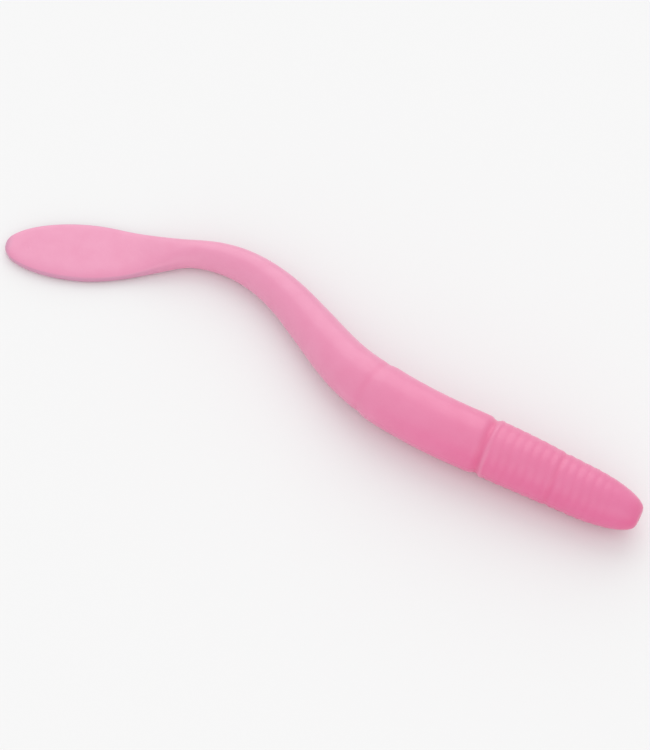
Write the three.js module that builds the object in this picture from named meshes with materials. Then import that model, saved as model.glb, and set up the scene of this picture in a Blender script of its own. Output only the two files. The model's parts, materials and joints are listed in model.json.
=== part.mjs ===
// A soft plastic worm for finesse fishing: rounded nose, ribbed head, smooth raised saddle, long
// tapering body, thin neck and flat paddle tail, lying in a gentle S on a level plane.
//
// The real worm is one piece of soft plastic that bends everywhere. Here it is a chain of rigid
// sections. Each section ends in a ball that sits in a cup in the next one, so the chain bends about
// the middle of the worm without its sections touching.
//
// Millimetres. The flat on the nose is centred on the origin and faces +X, +Z is up, and the worm
// winds away towards -X. A station is a distance along the centreline from the nose flat.
import * as THREE from "three";

// Stations of the worm's features.
const NOSE_END = 11;
const HEAD_END = 26;
const SADDLE_END = 46.5;
const TAPER_END = 90.5;
const PADDLE_START = 86.5;
const PADDLE_WIDEST = 107;
const TAIL_TIP = 120;

// Radii of the round part, and half sizes of the paddle.
const NOSE_FLAT_RADIUS = 1.2;
const NOSE_RADIUS = 4.25;
const HEAD_RADIUS = 4.75;
const SADDLE_RADIUS = 4.8;
const BODY_RADIUS = 4.58;
const NECK_RADIUS = 2.2;
const PADDLE_HALF_WIDTH = 5.5;
const PADDLE_HALF_THICKNESS = 0.9;

// The neck flattens into the paddle over a shorter length than it widens.
const FLATTEN_START = 88.5;
const FLATTEN_END = 101.25;

// Rings round the head, which fade in behind the nose, and the deeper groove that parts the head from
// the saddle.
const RIB_PITCH = 1.5;
const RIB_DEPTH = 0.1;
const RIBS_START = 2;
const RIBS_FULL = 8;
const GROOVE_DEPTH = 0.35;
const GROOVE_HALF_WIDTH = 1;

// The saddle's shoulders rise over this length; the centreline follows them over a longer one.
const SHOULDER = 2;
const CENTRELINE_SHOULDER = 16;

// A cross-section is a superellipse: 2 is an ellipse, and 4 is a slab with rounded edges.
const ROUND_FULLNESS = 2;
const PADDLE_FULLNESS = 4;

// How far the soft underside is pressed flat where it rests.
const REST_FLAT = 0.1;

// The bends of the centreline from nose to tail: [length, turn in degrees], positive to the left
// when looking from the tail to the nose.
const BENDS = [
  [31, 1.4],
  [12, -8.3],
  [13, -20.5],
  [9, 0],
  [9, 12],
  [16, 42.2],
  [30, -7.2],
];

// Joints between sections: a ball this much smaller than the section, a cup this much larger.
const BALL_INSET = 0.15;
const CUP_OUTSET = 0.15;
const CUP_RIM = 0.1;

// The centreline's slope at a joint is taken this far to either side.
const SLOPE_REACH = 0.5;

// Fineness of the surfaces.
const SIDES = 24;
const CAP_ROWS = 4;
const ROWS_PER_RIB = 4;
const SMOOTH_ROW = 2.2;
const TIP_ROWS = 7;

// Where the neck ends: still nearly round here, so that the paddle can swing sideways on it.
const NECK_END = 91.2;

// The sections of each part of the worm. They share its length equally, and the joint at each
// section's nose end stands at its first station.
const ZONES = [
  { start: 0, end: 8, colour: "#e783ab", sections: ["nose"] },
  { start: 8, end: HEAD_END, colour: "#ea8caf", sections: ["head_front", "head_middle", "head_rear"] },
  {
    start: HEAD_END,
    end: SADDLE_END,
    colour: "#ec94b5",
    sections: ["saddle_front", "saddle_middle", "saddle_rear"],
  },
  {
    start: SADDLE_END,
    end: 84.5,
    colour: "#eb9ebc",
    sections: ["body_1", "body_2", "body_3", "body_4", "body_5", "body_6", "body_7"],
  },
  { start: 84.5, end: NECK_END, colour: "#eca2be", sections: ["neck_front", "neck_rear"] },
  {
    start: NECK_END,
    end: 110,
    colour: "#eca4c0",
    sections: ["paddle_root", "paddle_front", "paddle_middle"],
  },
  { start: 110, end: TAIL_TIP, colour: "#eca8c2", sections: ["paddle_tip"] },
];

const degrees = THREE.MathUtils.degToRad;
const smoothstep = THREE.MathUtils.smoothstep;

// The centreline's place and its direction, tail to nose, at a station.
function centreline(station) {
  let x = 0;
  let y = 0;
  let heading = 0;
  let left = station;
  for (const [length, turn] of BENDS) {
    const run = Math.min(left, length);
    const turned = degrees(turn) * (run / length);
    const middle = heading + turned / 2;
    // The chord of an arc is shorter than the arc by the sinc of half its turn.
    const chord = turned === 0 ? run : (run * Math.sin(turned / 2)) / (turned / 2);
    x -= chord * Math.cos(middle);
    y -= chord * Math.sin(middle);
    heading += turned;
    left -= run;
    if (left <= 0) break;
  }
  return { x, y, heading };
}

// Radius of the round part without its ribs, with shoulders of the given length.
function plainRadius(station, shoulder) {
  const headPart = THREE.MathUtils.clamp((station - NOSE_END) / (HEAD_END - NOSE_END), 0, 1);
  const head = Math.sin(degrees(90) * headPart);
  const onSaddle = smoothstep(station, HEAD_END, HEAD_END + shoulder);
  const edge = SADDLE_END - SHOULDER;
  const offSaddle = smoothstep(station, edge, edge + shoulder);
  const taper = THREE.MathUtils.clamp((station - SADDLE_END) / (TAPER_END - SADDLE_END), 0, 1);
  return (
    NOSE_RADIUS +
    (HEAD_RADIUS - NOSE_RADIUS) * head +
    (SADDLE_RADIUS - HEAD_RADIUS) * onSaddle -
    (SADDLE_RADIUS - BODY_RADIUS) * offSaddle -
    (BODY_RADIUS - NECK_RADIUS) * taper
  );
}

// How far the ribs and the groove cut in.
function relief(station) {
  if (station >= HEAD_END + GROOVE_HALF_WIDTH) return 0;
  const groove = 1 - smoothstep(Math.abs(station - HEAD_END), 0, GROOVE_HALF_WIDTH);
  const phase = ((station - HEAD_END) / RIB_PITCH) * degrees(360);
  const fade = smoothstep(station, RIBS_START, RIBS_FULL);
  const ribs = station < HEAD_END ? (RIB_DEPTH * fade * (1 + Math.cos(phase))) / 2 : 0;
  return Math.max(ribs, GROOVE_DEPTH * groove);
}

// Radius of the round part, which the nose rounds off to its flat.
function roundRadius(station) {
  const radius = plainRadius(station, SHOULDER) - relief(station);
  const short = Math.max(0, (NOSE_END - station) / NOSE_END);
  return NOSE_FLAT_RADIUS + (radius - NOSE_FLAT_RADIUS) * Math.sqrt(1 - short * short);
}

function flatness(station) {
  return smoothstep(station, FLATTEN_START, FLATTEN_END);
}

function halfWidth(station) {
  const spread = smoothstep(station, PADDLE_START, PADDLE_WIDEST);
  const past = Math.max(0, (station - PADDLE_WIDEST) / (TAIL_TIP - PADDLE_WIDEST));
  return (roundRadius(station) + (PADDLE_HALF_WIDTH - NECK_RADIUS) * spread) * Math.sqrt(1 - past * past);
}

function halfHeight(station) {
  const height = roundRadius(station) - (NECK_RADIUS - PADDLE_HALF_THICKNESS) * flatness(station);
  const edge = Math.max(0, (station - TAIL_TIP) / PADDLE_HALF_THICKNESS + 1);
  return height * Math.sqrt(1 - edge * edge);
}

// The centreline lies as high as the worm is thick below it.
function centreHeight(station) {
  const thinning = (NECK_RADIUS - PADDLE_HALF_THICKNESS) * flatness(station);
  return plainRadius(station, CENTRELINE_SHOULDER) - thinning - NOSE_RADIUS;
}

const REST_HEIGHT = REST_FLAT - NOSE_RADIUS;

// The level frame of a cross-section at a station: x towards the nose and z up.
function frameAt(station) {
  const { x, y, heading } = centreline(station);
  return new THREE.Matrix4().makeRotationZ(heading).setPosition(x, y, centreHeight(station));
}

// The frame of a joint, which follows the centreline's slope too: x along it, y level across it.
function jointFrame(station) {
  const slope = (centreHeight(station - SLOPE_REACH) - centreHeight(station + SLOPE_REACH)) / (2 * SLOPE_REACH);
  return frameAt(station).multiply(new THREE.Matrix4().makeRotationY(-Math.atan(slope)));
}

// A row of a section's surface: the cross-section at a station, shrunk, and moved towards the tail.
function row(station, shrink = 1, tailward = 0) {
  return { station, shrink, tailward };
}

// The stations of the outer surface from one end of a section to the other.
function outerStations(from, to) {
  if (to > PADDLE_WIDEST + SMOOTH_ROW * 2) return tipStations(from);
  const step = to <= HEAD_END ? RIB_PITCH / ROWS_PER_RIB : SMOOTH_ROW;
  const count = Math.max(1, Math.round((to - from) / step));
  return Array.from({ length: count + 1 }, (_, i) => from + ((to - from) * i) / count);
}

// Rows that crowd towards the tip, where the outline turns in.
function tipStations(from) {
  return Array.from({ length: TIP_ROWS }, (_, i) => {
    const quarter = degrees(90) * (i / TIP_ROWS);
    return from + (TAIL_TIP - from) * Math.sin(quarter);
  });
}

// The cup that takes the last section's ball, from its deepest point out to its rim.
function cupRows(pivot) {
  const half = halfHeight(pivot);
  const radius = half + CUP_OUTSET;
  const rim = Math.acos(rimOffset(pivot) / radius);
  return Array.from({ length: CAP_ROWS + 1 }, (_, i) => {
    const angle = rim * (i / CAP_ROWS);
    return row(pivot, (radius * Math.sin(angle)) / half, radius * Math.cos(angle));
  });
}

// How far behind the joint a section's outer surface begins: between the first two ribs on the head,
// and elsewhere where the wall outside the cup has grown as thick as the rim.
function rimOffset(pivot) {
  if (pivot < HEAD_END) return RIB_PITCH;
  const half = halfHeight(pivot);
  return Math.sqrt((half + CUP_OUTSET) ** 2 - (half - CUP_RIM) ** 2);
}

// The ball at a section's tail end, from the joint out to its furthest point.
function ballRows(pivot) {
  const half = halfHeight(pivot);
  const radius = half - BALL_INSET;
  return Array.from({ length: CAP_ROWS + 1 }, (_, i) => {
    const angle = degrees(90) * (1 - i / CAP_ROWS);
    return row(pivot, (radius * Math.sin(angle)) / half, radius * Math.cos(angle));
  });
}

// All the rows of a section, nose end first.
function sectionRows(start, end) {
  const first = start === 0;
  const last = end === TAIL_TIP;
  const from = first ? 0 : start + rimOffset(start);
  return [
    ...(first ? [row(0, 0)] : cupRows(start)),
    ...outerStations(from, end).map((station) => row(station)),
    ...(last ? [row(TAIL_TIP, 0)] : ballRows(end)),
  ];
}

// Bends an open cylinder into a section: each ring of its vertices becomes one row.
function sectionGeometry(start, end) {
  const rows = sectionRows(start, end);
  const geometry = new THREE.CylinderGeometry(1, 1, 1, SIDES, rows.length - 1, true);
  const vertices = geometry.getAttribute("position");
  const toPivot = jointFrame(start).invert();
  for (let i = 0; i < vertices.count; i++) {
    const { station, shrink, tailward } = rows[Math.floor(i / (SIDES + 1))];
    const fullness = ROUND_FULLNESS + (PADDLE_FULLNESS - ROUND_FULLNESS) * flatness(station);
    const side = superellipse(vertices.getX(i), fullness) * halfWidth(station) * shrink;
    const up = superellipse(vertices.getZ(i), fullness) * halfHeight(station) * shrink;
    const point = new THREE.Vector3(-tailward, -side, up).applyMatrix4(frameAt(station));
    point.z = Math.max(point.z, REST_HEIGHT);
    point.applyMatrix4(toPivot);
    vertices.setXYZ(i, point.x, point.y, point.z);
  }
  geometry.deleteAttribute("uv");
  geometry.computeVertexNormals();
  return geometry;
}

// One coordinate of a superellipse, from the same coordinate of a unit circle.
function superellipse(coordinate, fullness) {
  return Math.sign(coordinate) * Math.abs(coordinate) ** (2 / fullness);
}

function softPlastic(colour) {
  return new THREE.MeshStandardMaterial({ color: colour, roughness: 0.42, metalness: 0 });
}

// Each section is carried by the one before it, about the joint between them.
function buildWorm() {
  const worm = new THREE.Group();
  worm.name = "soft_plastic_worm";
  let carrier = worm;
  let carrierFrame = new THREE.Matrix4();
  for (const zone of ZONES) {
    const length = (zone.end - zone.start) / zone.sections.length;
    zone.sections.forEach((name, i) => {
      const start = zone.start + length * i;
      const joint = new THREE.Group();
      const ownFrame = jointFrame(start);
      joint.applyMatrix4(carrierFrame.clone().invert().multiply(ownFrame));
      carrier.add(joint);
      const mesh = new THREE.Mesh(sectionGeometry(start, start + length), softPlastic(zone.colour));
      mesh.name = name;
      joint.add(mesh);
      carrier = joint;
      carrierFrame = ownFrame;
    });
  }
  return worm;
}

export default buildWorm();
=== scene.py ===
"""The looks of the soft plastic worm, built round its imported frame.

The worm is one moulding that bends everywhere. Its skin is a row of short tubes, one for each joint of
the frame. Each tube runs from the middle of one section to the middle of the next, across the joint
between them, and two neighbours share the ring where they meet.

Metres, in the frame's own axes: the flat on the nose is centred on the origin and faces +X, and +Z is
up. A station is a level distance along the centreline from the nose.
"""

import json
import math

import bmesh
import bpy
import numpy as np
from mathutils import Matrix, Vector


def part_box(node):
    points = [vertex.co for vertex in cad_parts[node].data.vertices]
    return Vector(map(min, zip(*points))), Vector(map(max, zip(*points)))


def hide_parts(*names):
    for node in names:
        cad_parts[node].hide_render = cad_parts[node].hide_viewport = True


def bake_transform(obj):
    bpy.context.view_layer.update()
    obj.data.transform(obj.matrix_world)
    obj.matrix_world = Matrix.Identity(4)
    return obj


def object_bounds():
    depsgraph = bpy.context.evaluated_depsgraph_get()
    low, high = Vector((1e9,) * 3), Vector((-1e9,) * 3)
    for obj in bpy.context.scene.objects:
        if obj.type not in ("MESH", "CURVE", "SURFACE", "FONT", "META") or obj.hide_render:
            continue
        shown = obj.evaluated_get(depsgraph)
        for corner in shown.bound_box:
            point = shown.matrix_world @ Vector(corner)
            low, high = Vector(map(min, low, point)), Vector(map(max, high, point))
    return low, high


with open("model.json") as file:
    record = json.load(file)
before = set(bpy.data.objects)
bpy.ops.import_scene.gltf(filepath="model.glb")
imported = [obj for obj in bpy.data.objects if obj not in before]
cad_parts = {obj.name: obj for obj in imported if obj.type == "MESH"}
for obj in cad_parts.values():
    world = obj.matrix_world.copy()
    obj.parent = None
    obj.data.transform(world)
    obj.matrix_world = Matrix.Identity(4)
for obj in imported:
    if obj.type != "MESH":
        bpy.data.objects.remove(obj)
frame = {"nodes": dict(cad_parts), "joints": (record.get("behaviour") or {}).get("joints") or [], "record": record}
cad_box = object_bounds()

MM = 0.001
UP = np.array([0.0, 0.0, 1.0])

# Moulded details.
RIB_PITCH = 1.5 * MM
RIB_DEPTH = 0.06 * MM
RIB_SHARPNESS = 1.3
HEAD_RING_DEPTH = 0.18 * MM
RIBS_START = 2 * MM
GROOVE_DEPTH = 0.35 * MM
GROOVE_HALF_WIDTH = 1 * MM
LIP_HEIGHT = 0.04 * MM
LIP_HALF_WIDTH = 0.5 * MM
CREASE_DEPTH = 0.11 * MM
CREASE_HALF_WIDTH = 0.9 * MM
SHOULDER = 2 * MM
REST_FLAT = 0.1 * MM
PARTING_HEIGHT = 0.04 * MM
GATE_RADIUS = 0.7 * MM
GATE_FLOOR_SHARE = 0.7
GATE_DEPTH = 0.08 * MM

# The slow unevenness of the skin, as waves: each one's share of the height, its waves along the worm,
# its turns round it, and its shift in radians.
WAVER = 0.03 * MM
WAVES = (
    (0.5, 5, 2, 0),
    (0.3, 11, -1, 1),
    (0.2, 17, 3, 2),
)

# A cross-section is a superellipse: 2 is an ellipse, and 4 is a slab with rounded edges.
ROUND_FULLNESS = 2
PADDLE_FULLNESS = 4

# Painted shade: the colour deepens at the nose and towards the underside of the thick end, less so on top. Painted
# shade also makes the thin rim greyer and darker.
NOSE_PAINTED_SHADE = 0.85
NOSE_PAINTED_SHADE_END = 3 * MM
UNDERSIDE_SHADE_ON_TOP = 0.3
PAINTED_LIGHT_TOP_START = 0.5
RIM_SHADE_START = 0.86
TIP_RIM_SHADE_LENGTH = 1.6 * MM

# Fineness of the skin.
ROWS_PER_RIB = 12
SMOOTH_ROW = 0.4 * MM
TIP_ROWS = 26
NOSE_CAP_ROWS = 9
COLUMNS = 72
PARTING_COLUMNS_DEG = (0.7, 1.6, 3.0)
ANGLE_DECIMALS = 6
WELD_DISTANCE = 0.001 * MM

# How far to either side of a station the centreline's direction is taken, and how near a station a
# CAD point has to be to count as on its ring.
DIRECTION_REACH = 0.05 * MM
RING_SLACK = 0.1 * MM

# The plastic. Tints multiply the pink of the frame's record.
NOISE_SPAN = (0.3, 0.7)
CLOUD_SIZE = 3 * MM
CLOUD_DETAIL = 3
CLOUD_STRENGTH = 0.6
CLOUD_TINT = (0.97, 0.88, 0.92)
# Painted shade: the pink is darker in the ribs, the groove, the crease and at the nose.
HOLLOW_AND_NOSE_SHADE_TINT = (0.98, 0.78, 0.87)
DYE = (0.92, 0.765, 0.85)
# Painted shade towards the underside of the thick end; painted light leaves the top and the lip paler.
UNDERSIDE_SHADE_TINT = (1.0, 0.72, 0.88)
# Painted shade: a greyer, darker pink along the paddle's thin rim and tip.
RIM_SHADE_TINT = (0.78, 0.92, 0.90)
GRAIN_SIZE = 0.5 * MM
GRAIN_DETAIL = 2
GRAIN_HEIGHT = 0.012 * MM
ROUGHNESS_RANGE = (0.38, 0.5)
ROUGHNESS_DETAIL = 4
OIL = 0.5
OIL_ROUGHNESS = 0.28

# The stage. The camera aims at a point beside the middle of the worm, about as high as its nose.
FLOOR_SIZE = 6.0
FLOOR_COLOUR = (0.85, 0.85, 0.85)
FLOOR_ROUGHNESS = 0.9
BACKDROP_COLOUR = (0.947, 0.947, 0.947)
SURROUND_STRENGTH = 0.9
LIGHT_SPREAD_DEG = 60
KEY_FROM = (-0.47, 0.88, 0.75)
KEY_STRENGTH = 0.8
FILL_FROM = (0.5, -1.0, 0.45)
FILL_STRENGTH = 0.4
VIEW_AZIMUTH_DEG = 28.25
VIEW_ELEVATION_DEG = 60
VIEW_DISTANCE = 288.4 * MM
VIEW_CENTRE = (-54.42 * MM, -0.5 * MM, -0.07 * MM)
NEAREST_SEEN = 10 * MM
LENS_MM = 86.4


def smoothstep(value, low, high):
    share = np.clip((value - low) / (high - low), 0, 1)
    return share * share * (3 - 2 * share)


def smooth_curve(knots, values):
    """The natural cubic spline through values at knots, as a function."""
    step = np.diff(knots)
    slope = np.diff(values, axis=0) / step[:, None]
    count = len(knots)
    matrix = np.eye(count)
    right = np.zeros_like(values)
    for i in range(1, count - 1):
        matrix[i, i - 1:i + 2] = step[i - 1], 2 * (step[i - 1] + step[i]), step[i]
        right[i] = 6 * (slope[i] - slope[i - 1])
    bend = np.linalg.solve(matrix, right)

    def curve(at):
        i = np.clip(np.searchsorted(knots, at) - 1, 0, count - 2)
        width = step[i][..., None]
        after = (at - knots[i])[..., None]
        before = width - after
        return (
            (bend[i] * before**3 + bend[i + 1] * after**3) / (6 * width)
            + (values[i] / width - bend[i] * width / 6) * before
            + (values[i + 1] / width - bend[i + 1] * width / 6) * after
        )

    return curve


# ---- The centreline, through the nose flat, every joint and the tail tip ----


def tail_tip(joint):
    """The tip lies straight behind the last joint, as far back as the last section reaches."""
    pivot = np.array(joint["pos_m"])
    tailward = np.cross(UP, joint["axis"])
    low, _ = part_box(joint["child"])
    return pivot + tailward * (low.x - pivot[0]) / tailward[0]


joints = frame["joints"]
mounts = {mount["name"]: mount for mount in frame["record"]["mounts"]}
knot_points = np.array([
    mounts["nose_face"]["pos_m"],
    *(joint["pos_m"] for joint in joints),
    tail_tip(joints[-1]),
])
knot_steps = np.linalg.norm(np.diff(knot_points[:, :2], axis=0), axis=1)
knot_stations = np.append(0, np.cumsum(knot_steps))
centre = smooth_curve(knot_stations, knot_points)

# Where each section starts and ends.
section_names = ["nose", *(joint["child"] for joint in joints)]
starts = dict(zip(section_names, knot_stations))
ends = dict(zip(section_names, knot_stations[1:]))
TAIL_TIP = knot_stations[-1]


def middle(section):
    return (starts[section] + ends[section]) / 2


def axes(station):
    """Unit vectors at a station: towards the tail, to the left of that, and up."""
    tailward = centre(station + DIRECTION_REACH) - centre(station - DIRECTION_REACH)
    tailward[..., 2] = 0
    tailward /= np.linalg.norm(tailward, axis=-1, keepdims=True)
    return tailward, np.cross(UP, tailward), UP


# ---- Sizes, measured on the frame's sections ----


def ring(section, station):
    """Half the width and half the height of a CAD section, at a station where it has a row of points."""
    vertices = frame["nodes"][section].data.vertices
    offsets = np.array([vertex.co for vertex in vertices]) - centre(np.array(station))
    tailward, side, up = axes(np.array(station))
    row = offsets[np.abs(offsets @ tailward) < RING_SLACK]
    return np.abs(row @ side).max(), (row @ up).max()


NOSE_END = middle("head_front")
HEAD_END = starts["saddle_front"]
SADDLE_END = starts["body_1"]
TAPER_END = middle("neck_rear")
PADDLE_START = middle("neck_front")
PADDLE_WIDEST = middle("paddle_middle")
FLATTEN_START = starts["neck_rear"]
FLATTEN_END = middle("paddle_front")
TIP_START = starts["paddle_tip"]
REST_HEIGHT = cad_box[0].z

NOSE_FLAT_RADIUS = ring("nose", 0)[0]
NOSE_RADIUS = REST_FLAT - REST_HEIGHT
HEAD_RADIUS = ring("head_rear", HEAD_END)[0] + GROOVE_DEPTH
SADDLE_RADIUS = ring("saddle_front", ends["saddle_front"])[0]
BODY_RADIUS = ring("saddle_rear", SADDLE_END)[0]
PADDLE_HALF_THICKNESS = ring("paddle_middle", TIP_START)[1]

# The body tapers evenly through the last round ring of the frame.
TAPER = (BODY_RADIUS - ring("neck_front", FLATTEN_START)[1]) / (FLATTEN_START - SADDLE_END)
NECK_RADIUS = BODY_RADIUS - TAPER * (TAPER_END - SADDLE_END)


def tip_outline(station):
    """The tail tip's outline is half an ellipse: its width as a share of the paddle's."""
    past = np.clip((station - PADDLE_WIDEST) / (TAIL_TIP - PADDLE_WIDEST), 0, 1)
    return np.sqrt(1 - past**2)


PADDLE_HALF_WIDTH = ring("paddle_middle", TIP_START)[0] / tip_outline(TIP_START)


# ---- The shape of the skin ----


def plain_radius(station):
    """Radius of the round part without its ribs."""
    head = np.sin(np.clip((station - NOSE_END) / (HEAD_END - NOSE_END), 0, 1) * math.pi / 2)
    taper = np.clip((station - SADDLE_END) / (TAPER_END - SADDLE_END), 0, 1)
    on_saddle = smoothstep(station, HEAD_END, HEAD_END + SHOULDER)
    off_saddle = smoothstep(station, SADDLE_END - SHOULDER, SADDLE_END)
    return (
        NOSE_RADIUS
        + (HEAD_RADIUS - NOSE_RADIUS) * head
        + (SADDLE_RADIUS - HEAD_RADIUS) * on_saddle
        - (SADDLE_RADIUS - BODY_RADIUS) * off_saddle
        - (BODY_RADIUS - NECK_RADIUS) * taper
    )


def lip(station):
    """The low lip of plastic on the head's side of the groove, as a share of its height."""
    return 1 - smoothstep(np.abs(station - (HEAD_END - GROOVE_HALF_WIDTH)), 0, LIP_HALF_WIDTH)


def relief(station):
    """How far the skin is cut in by the ribs, the deeper ring among them, and the groove and the crease
    at either end of the saddle. It is negative where the lip stands out."""
    groove = 1 - smoothstep(np.abs(station - HEAD_END), 0, GROOVE_HALF_WIDTH)
    head_ring = 1 - smoothstep(np.abs(station - starts["head_middle"]), 0, RIB_PITCH / 2)
    crease = 1 - smoothstep(np.abs(station - SADDLE_END), 0, CREASE_HALF_WIDTH)
    wave = (1 + np.cos((station - HEAD_END) / RIB_PITCH * 2 * math.pi)) / 2
    fade = smoothstep(station, RIBS_START, starts["head_front"])
    ribs = wave**RIB_SHARPNESS * fade * (station < HEAD_END)
    cuts = [RIB_DEPTH * ribs, HEAD_RING_DEPTH * head_ring, GROOVE_DEPTH * groove, CREASE_DEPTH * crease]
    return np.maximum.reduce(cuts) * (1 - lip(station)) - LIP_HEIGHT * lip(station)


def round_radius(station):
    """Radius of the round part, which the nose rounds off to its flat."""
    short = np.clip(1 - station / NOSE_END, 0, 1)
    rounding = np.sqrt(1 - short**2)
    return NOSE_FLAT_RADIUS + (plain_radius(station) - relief(station) - NOSE_FLAT_RADIUS) * rounding


def flatness(station):
    return smoothstep(station, FLATTEN_START, FLATTEN_END)


def half_width(station):
    spread = smoothstep(station, PADDLE_START, PADDLE_WIDEST)
    return (round_radius(station) + (PADDLE_HALF_WIDTH - NECK_RADIUS) * spread) * tip_outline(station)


def half_height(station):
    height = round_radius(station) - (NECK_RADIUS - PADDLE_HALF_THICKNESS) * flatness(station)
    edge = np.clip((station - TAIL_TIP) / PADDLE_HALF_THICKNESS + 1, 0, 1)
    return height * np.sqrt(1 - edge**2)


def superellipse(coordinate, fullness):
    """One coordinate of a superellipse, from the same coordinate of a unit circle."""
    return np.sign(coordinate) * np.abs(coordinate) ** (2 / fullness)


def painted_underside_shade(station, angle):
    """Share of the painted shade towards the underside: it fades out behind the saddle, and is less on top and on
    the lip, which leaves painted light there.
    """
    low = 1 - smoothstep(np.sin(angle), PAINTED_LIGHT_TOP_START, 1)
    thick = 1 - smoothstep(station, HEAD_END, starts["body_3"])
    return thick * (1 - lip(station)) * (UNDERSIDE_SHADE_ON_TOP + (1 - UNDERSIDE_SHADE_ON_TOP) * low)


def painted_rim_shade(station, angle):
    """How near a point is to the paddle's thin rim and tip, where painted shade makes the pink greyer and darker.
    """
    side_rim = flatness(station) * smoothstep(np.abs(np.cos(angle)), RIM_SHADE_START, 1)
    tip_rim = smoothstep(station, TAIL_TIP - TIP_RIM_SHADE_LENGTH, TAIL_TIP)
    return np.maximum(side_rim, tip_rim)


def waver(station, angle):
    """The slow unevenness of a soft moulding, from -1 to 1."""
    along = station / TAIL_TIP * 2 * math.pi
    return sum(
        share * np.sin(waves * along + turns * angle + shift)
        for share, waves, turns, shift in WAVES
    )


def column_angles():
    """Angles round a cross-section, evenly spaced, with more at the parting line on either side."""
    crowd = np.radians([*PARTING_COLUMNS_DEG, *(-np.array(PARTING_COLUMNS_DEG))])
    even = np.arange(COLUMNS) * 2 * math.pi / COLUMNS
    every = np.concatenate([even, crowd, crowd + math.pi]) % (2 * math.pi)
    return np.unique(every.round(ANGLE_DECIMALS))


def skin_points(station, angle):
    """Points of the skin at stations, a column, and at angles round the cross-section, a row."""
    fullness = ROUND_FULLNESS + (PADDLE_FULLNESS - ROUND_FULLNESS) * flatness(station)
    parting_width = math.sin(math.radians(PARTING_COLUMNS_DEG[-1]))
    parting = 1 - smoothstep(np.abs(np.sin(angle)), 0, parting_width)
    swell = PARTING_HEIGHT * parting + WAVER * waver(station, angle)
    swell = swell * smoothstep(station, 0, NOSE_END) * tip_outline(station)
    out = superellipse(np.cos(angle), fullness) * (half_width(station) + swell)
    high = superellipse(np.sin(angle), fullness) * half_height(station)
    _, side, up = axes(station)
    points = centre(station) + side * out[..., None] + up * high[..., None]
    points[..., 2] = np.maximum(points[..., 2], REST_HEIGHT)
    return points


def nose_cap_points(angle):
    """Rings that close the flat on the nose, with a shallow scar where the gate was cut off."""
    share = np.linspace(0, 1, NOSE_CAP_ROWS, endpoint=False)[:, None]
    radius = share * NOSE_FLAT_RADIUS
    scar = GATE_DEPTH * (1 - smoothstep(radius, GATE_RADIUS * GATE_FLOOR_SHARE, GATE_RADIUS))
    tailward, side, up = axes(np.zeros(1))
    offset = tailward * scar[..., None]
    return centre(np.zeros(1)) + offset + radius[..., None] * (
        side * np.cos(angle)[..., None] + up * np.sin(angle)[..., None]
    )


def row_stations():
    """Stations of the skin's rows, close together on the ribs and at the tip."""
    ribs = np.arange(round(HEAD_END / RIB_PITCH * ROWS_PER_RIB)) * RIB_PITCH / ROWS_PER_RIB
    behind = np.linspace(HEAD_END, PADDLE_WIDEST, round((PADDLE_WIDEST - HEAD_END) / SMOOTH_ROW))
    quarter = np.linspace(0, math.pi / 2, TIP_ROWS + 1)[1:]
    tip = PADDLE_WIDEST + (TAIL_TIP - PADDLE_WIDEST) * np.sin(quarter)
    return np.concatenate([ribs, behind, tip])


# ---- The skin, made once as a grid of rows and columns and cut into tubes ----


def grid_normals(points):
    """Outward unit normals of a grid whose columns close on themselves."""
    about = np.roll(points, -1, axis=1) - np.roll(points, 1, axis=1)
    normals = np.cross(about, np.gradient(points, axis=0))
    length = np.linalg.norm(normals, axis=-1, keepdims=True)
    return normals / np.maximum(length, 1e-12)


def make_grid():
    """Each row's station, and the grid's points and normals, and its shares of the painted shade in the hollows
    and at the nose, of the painted shade towards the underside and of the painted shade at the thin rim."""
    stations = row_stations()
    angles = column_angles()[None, :]
    cap = nose_cap_points(angles)
    points = np.concatenate([cap, skin_points(stations[:, None], angles)])
    stations = np.concatenate([np.zeros(len(cap)), stations])
    # Painted shade at the nose flat and its rounding, added to the painted shade in the hollows.
    nose = NOSE_PAINTED_SHADE * (1 - smoothstep(stations, 0, NOSE_PAINTED_SHADE_END))
    hollow_and_nose_shade_by_row = relief(stations) / GROOVE_DEPTH + nose
    hollow_and_nose_shade = np.broadcast_to(hollow_and_nose_shade_by_row[:, None], points.shape[:2])
    # Painted shade towards the underside of the thick end, less on top and on the lip.
    underside_shade = painted_underside_shade(stations[:, None], angles)
    # Painted shade along the paddle's thin rim and tip.
    rim_shade = painted_rim_shade(stations[:, None], angles)
    return stations, points, grid_normals(points), hollow_and_nose_shade, underside_shade, rim_shade


def set_attribute(mesh, name, kind, values):
    attribute = mesh.attributes.new(name, kind, "POINT")
    field = "vector" if kind == "FLOAT_VECTOR" else "value"
    attribute.data.foreach_set(field, np.ravel(values).astype(np.float32))


def weld(mesh):
    """Merges the rows that shrink to a point at the nose and at the tip."""
    draft = bmesh.new()
    draft.from_mesh(mesh)
    bmesh.ops.remove_doubles(draft, verts=draft.verts, dist=WELD_DISTANCE)
    draft.to_mesh(mesh)
    draft.free()


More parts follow.
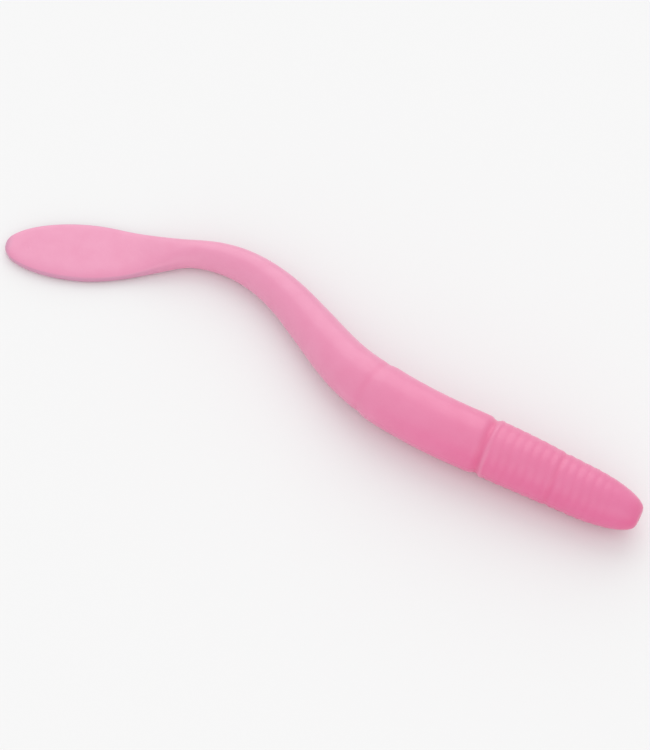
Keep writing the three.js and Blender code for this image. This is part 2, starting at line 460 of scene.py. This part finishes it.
def tube(name, grid, first, last):
    """A tube made of the grid's rows from first to last. Its end rings keep the whole grid's normals, so
    that no seam shows between it and its neighbours."""
    stations, points, normals, hollow_and_nose_shade, underside_shade, rim_shade = (part[first:last + 1] for part in grid)
    rows, columns = points.shape[:2]
    index = np.arange(rows * columns).reshape(rows, columns)
    after = np.roll(index, -1, axis=1)
    faces = np.stack([index[:-1], after[:-1], after[1:], index[1:]], axis=-1).reshape(-1, 4)
    mesh = bpy.data.meshes.new(name)
    mesh.from_pydata(points.reshape(-1, 3), [], faces.tolist())
    end_normals = np.zeros_like(normals)
    end_normals[[0, -1]] = normals[[0, -1]]
    set_attribute(mesh, "rest_place", "FLOAT_VECTOR", points)
    set_attribute(mesh, "along", "FLOAT", np.repeat(stations / TAIL_TIP, columns))
    set_attribute(mesh, "hollow_and_nose_shade", "FLOAT", hollow_and_nose_shade)
    set_attribute(mesh, "painted_underside_shade", "FLOAT", underside_shade)
    set_attribute(mesh, "rim_shade", "FLOAT", rim_shade)
    set_attribute(mesh, "end_normal", "FLOAT_VECTOR", end_normals)
    weld(mesh)
    mesh.shade_smooth()
    shared = np.empty(len(mesh.vertices) * 3, np.float32)
    mesh.attributes["end_normal"].data.foreach_get("vector", shared)
    mesh.normals_split_custom_set_from_vertices(shared.reshape(-1, 3))
    mesh.attributes.remove(mesh.attributes["end_normal"])
    piece = bpy.data.objects.new(name, mesh)
    bpy.context.scene.collection.objects.link(piece)
    return piece


def build_skin(plastic):
    """One tube for each joint, from the middle of the section before it to the middle of the one behind.
    The first starts at the nose, and the last ends at the tail's tip."""
    grid = make_grid()
    stations = grid[0]
    middles = [np.abs(stations - middle(name)).argmin() for name in section_names[1:-1]]
    seams = [0, *middles, len(stations) - 1]
    pieces = []
    for joint, first, last in zip(joints, seams, seams[1:]):
        section = joint["child"]
        piece = tube(f"{section}_skin", grid, first, last)
        piece.data.materials.append(plastic)
        pivot_station = np.array(starts[section])
        tailward, _, _ = axes(pivot_station)
        pivot = centre(pivot_station)
        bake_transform(piece)
        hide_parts(section)
        pieces.append(piece)
    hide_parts("nose")
    return pieces


# ---- Material ----


def add_node(tree, kind, inputs=None, **settings):
    """A shader or geometry node. An input is a value, or the output of another node to join it to."""
    node = tree.nodes.new(kind)
    for name, value in settings.items():
        setattr(node, name, value)
    for name, value in (inputs or {}).items():
        if isinstance(value, bpy.types.NodeSocket):
            tree.links.new(value, node.inputs[name])
        else:
            node.inputs[name].default_value = value
    return node


def linear(colour):
    """Linear light from a display colour."""
    return [(c / 12.92 if c <= 0.04045 else ((c + 0.055) / 1.055) ** 2.4) for c in colour]


def colour_along(tree, share):
    """The worm's pink, from the colours of the record's slots, each at the middle of its zone."""
    node = add_node(tree, "ShaderNodeValToRGB", {"Fac": share})
    ramp = node.color_ramp
    slots = {row["slot"]: row["base_color"] for row in frame["record"]["materials"]}
    zones = {
        "nose_plastic": 0,
        "head_plastic": middle("head_rear"),
        "saddle_plastic": middle("saddle_middle"),
        "body_plastic": middle("body_4"),
        "neck_plastic": middle("neck_front"),
        "paddle_plastic": middle("paddle_middle"),
    }
    while len(ramp.elements) < len(zones):
        # Anywhere between the ends will do: the loop below gives each its place.
        ramp.elements.new(0.5)
    for element, (slot, station) in zip(ramp.elements, zones.items()):
        element.position = station / TAIL_TIP
        element.color = (*(part * dye for part, dye in zip(linear(slots[slot]), DYE)), 1)
    return node.outputs["Color"]


def tint(tree, colour, share, by):
    """A colour multiplied by another, as far as the share says."""
    factor, colour_a, colour_b, colour_out = 0, 6, 7, 2
    inputs = {factor: share, colour_a: colour, colour_b: (*by, 1)}
    mix = add_node(tree, "ShaderNodeMix", inputs, data_type="RGBA", blend_type="MULTIPLY")
    return mix.outputs[colour_out]


def attribute(tree, name, output="Fac"):
    return add_node(tree, "ShaderNodeAttribute", attribute_name=name).outputs[output]


def noise(tree, place, size, detail, low, high):
    """Noise with features of a size, spread over the range from low to high."""
    inputs = {"Vector": place, "Scale": 1 / size, "Detail": detail}
    raw = add_node(tree, "ShaderNodeTexNoise", inputs).outputs["Fac"]
    lowest, highest = NOISE_SPAN
    inputs = {"Value": raw, "From Min": lowest, "From Max": highest, "To Min": low, "To Max": high}
    return add_node(tree, "ShaderNodeMapRange", inputs).outputs["Result"]


def soft_plastic():
    """Satin, slightly oily soft plastic. Its pink is faintly cloudy, and its surface has the fine texture of the
    mould. Painted shade darkens it in the hollows, at the nose, towards the underside of the thick end and
    along the paddle's thin rim, and painted light leaves it paler on top and on the lip."""
    material = bpy.data.materials.new("soft_plastic")
    material.use_nodes = True
    tree = material.node_tree
    place = attribute(tree, "rest_place", "Vector")
    base = colour_along(tree, attribute(tree, "along"))
    clouds = noise(tree, place, CLOUD_SIZE, CLOUD_DETAIL, 0, CLOUD_STRENGTH)
    cloudy = tint(tree, base, clouds, CLOUD_TINT)
    # Painted shade towards the underside, with painted light on top and on the lip.
    underside_shaded = tint(tree, cloudy, attribute(tree, "painted_underside_shade"), UNDERSIDE_SHADE_TINT)
    # Painted shade along the paddle's thin rim and tip.
    rim_shaded = tint(tree, underside_shaded, attribute(tree, "rim_shade"), RIM_SHADE_TINT)
    # Painted shade in the hollows and at the nose.
    coloured = tint(tree, rim_shaded, attribute(tree, "hollow_and_nose_shade"), HOLLOW_AND_NOSE_SHADE_TINT)
    grain = noise(tree, place, GRAIN_SIZE, GRAIN_DETAIL, 0, 1)
    bump = add_node(tree, "ShaderNodeBump", {"Height": grain, "Strength": 1.0, "Distance": GRAIN_HEIGHT})
    roughness = noise(tree, place, CLOUD_SIZE, ROUGHNESS_DETAIL, *ROUGHNESS_RANGE)
    shader = tree.nodes["Principled BSDF"]
    shader.inputs["Coat Weight"].default_value = OIL
    shader.inputs["Coat Roughness"].default_value = OIL_ROUGHNESS
    tree.links.new(coloured, shader.inputs["Base Color"])
    tree.links.new(roughness, shader.inputs["Roughness"])
    tree.links.new(bump.outputs["Normal"], shader.inputs["Normal"])
    return material


# ---- Stage: floor, light and camera ----


def lowest_point_nodes(pieces):
    """Geometry nodes that lower the floor to the lowest point of the posed worm."""
    tree = bpy.data.node_groups.new("floor_under_worm", "GeometryNodeTree")
    tree.interface.new_socket("Geometry", in_out="INPUT", socket_type="NodeSocketGeometry")
    tree.interface.new_socket("Geometry", in_out="OUTPUT", socket_type="NodeSocketGeometry")
    join = add_node(tree, "GeometryNodeJoinGeometry")
    for piece in pieces:
        info = add_node(tree, "GeometryNodeObjectInfo", {"Object": piece})
        tree.links.new(info.outputs["Geometry"], join.inputs["Geometry"])
    box = add_node(tree, "GeometryNodeBoundBox", {"Geometry": join.outputs["Geometry"]})
    low = add_node(tree, "ShaderNodeSeparateXYZ", {"Vector": box.outputs["Min"]})
    drop = add_node(tree, "ShaderNodeCombineXYZ", {"Z": low.outputs["Z"]})
    given = add_node(tree, "NodeGroupInput")
    moved = add_node(
        tree,
        "GeometryNodeSetPosition",
        {"Geometry": given.outputs["Geometry"], "Offset": drop.outputs["Vector"]},
    )
    add_node(tree, "NodeGroupOutput", {"Geometry": moved.outputs["Geometry"]})
    return tree


def build_floor(pieces):
    half = FLOOR_SIZE / 2
    corners = [(-half, -half, 0), (half, -half, 0), (half, half, 0), (-half, half, 0)]
    mesh = bpy.data.meshes.new("floor")
    mesh.from_pydata(corners, [], [(0, 1, 2, 3)])
    floor = bpy.data.objects.new("floor", mesh)
    bpy.context.scene.collection.objects.link(floor)
    material = bpy.data.materials.new("floor_paint")
    material.use_nodes = True
    shader = material.node_tree.nodes["Principled BSDF"]
    shader.inputs["Base Color"].default_value = (*FLOOR_COLOUR, 1)
    shader.inputs["Roughness"].default_value = FLOOR_ROUGHNESS
    shader.inputs["Specular IOR Level"].default_value = 0.0
    mesh.materials.append(material)
    modifier = floor.modifiers.new("under_worm", "NODES")
    modifier.node_group = lowest_point_nodes(pieces)


def soft_sun(name, towards, strength):
    """A broad, plain white light from a direction."""
    lamp = bpy.data.lights.new(name, "SUN")
    lamp.energy = strength
    lamp.angle = math.radians(LIGHT_SPREAD_DEG)
    light = bpy.data.objects.new(name, lamp)
    light.rotation_mode = "QUATERNION"
    light.rotation_quaternion = Vector(towards).to_track_quat("Z", "Y")
    bpy.context.scene.collection.objects.link(light)


def build_light():
    """A pale surround, a broad soft light from above and behind, and a weaker one from in front."""
    world = bpy.data.worlds.new("surround")
    bpy.context.scene.world = world
    world.use_nodes = True
    tree = world.node_tree
    background = tree.nodes["Background"]
    background.inputs["Color"].default_value = (1, 1, 1, 1)
    background.inputs["Strength"].default_value = SURROUND_STRENGTH
    seen = add_node(tree, "ShaderNodeBackground", {"Color": (*BACKDROP_COLOUR, 1), "Strength": 1.0})
    camera_ray = add_node(tree, "ShaderNodeLightPath").outputs["Is Camera Ray"]
    mix = add_node(tree, "ShaderNodeMixShader", {"Fac": camera_ray})
    tree.links.new(background.outputs[0], mix.inputs[1])
    tree.links.new(seen.outputs[0], mix.inputs[2])
    tree.links.new(mix.outputs[0], tree.nodes["World Output"].inputs["Surface"])
    soft_sun("key", KEY_FROM, KEY_STRENGTH)
    soft_sun("fill", FILL_FROM, FILL_STRENGTH)


def build_camera():
    """The camera looks down on the worm from in front and to its right."""
    azimuth = math.radians(VIEW_AZIMUTH_DEG)
    elevation = math.radians(VIEW_ELEVATION_DEG)
    away = Vector((
        math.sin(azimuth) * math.cos(elevation),
        -math.cos(azimuth) * math.cos(elevation),
        math.sin(elevation),
    ))
    aim = Vector(VIEW_CENTRE)
    camera = bpy.data.objects.new("camera", bpy.data.cameras.new("camera"))
    camera.data.lens = LENS_MM
    camera.data.clip_start = NEAREST_SEEN
    camera.location = aim + away * VIEW_DISTANCE
    camera.rotation_mode = "QUATERNION"
    camera.rotation_quaternion = away.to_track_quat("Z", "Y")
    bpy.context.scene.collection.objects.link(camera)
    bpy.context.scene.camera = camera


skin = build_skin(soft_plastic())
build_floor(skin)
build_light()
build_camera()
bpy.context.scene.view_settings.view_transform = "Standard"
